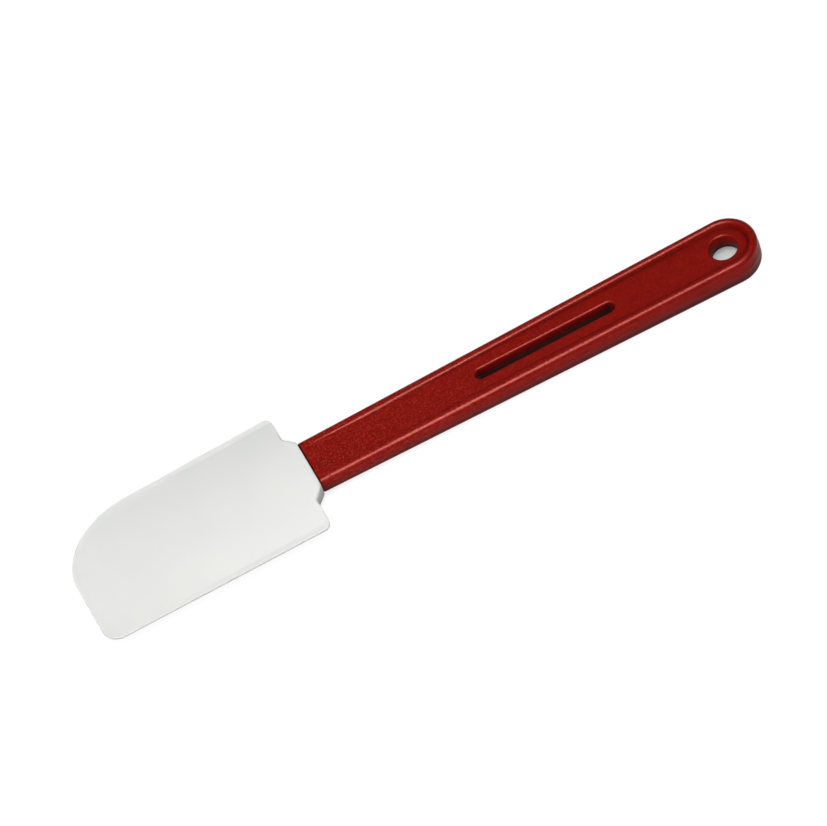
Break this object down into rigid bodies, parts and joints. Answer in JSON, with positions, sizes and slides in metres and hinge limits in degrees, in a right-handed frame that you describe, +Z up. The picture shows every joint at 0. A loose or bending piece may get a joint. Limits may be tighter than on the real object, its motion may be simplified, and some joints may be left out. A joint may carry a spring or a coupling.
{
  "type": "bowl scraper",
  "caption": "Silicone bowl scraper: a soft asymmetric blade moulded over the tang of a stiff nylon handle with a slot and a hanging hole.",
  "frame": {"origin": "on the surface that the tool lies on, below the middle of its length and on the handle's centre line", "axes": "+X along the handle from the blade to the hanging end, +Y across it towards the swept corner, +Z up from the face it lies on"},
  "size_m": [0.343, 0.0717, 0.0142],
  "materials": {
    "handle_nylon": "glass-filled nylon, brick red, as moulded, satin with faint flow marks",
    "blade_silicone": "food-grade silicone rubber, off-white, smooth satin, slightly translucent at its thin edges"
  },
  "bodies": {
    "root": {"handle": "handle_nylon", "blade": "blade_silicone"}
  },
  "joints": []
}
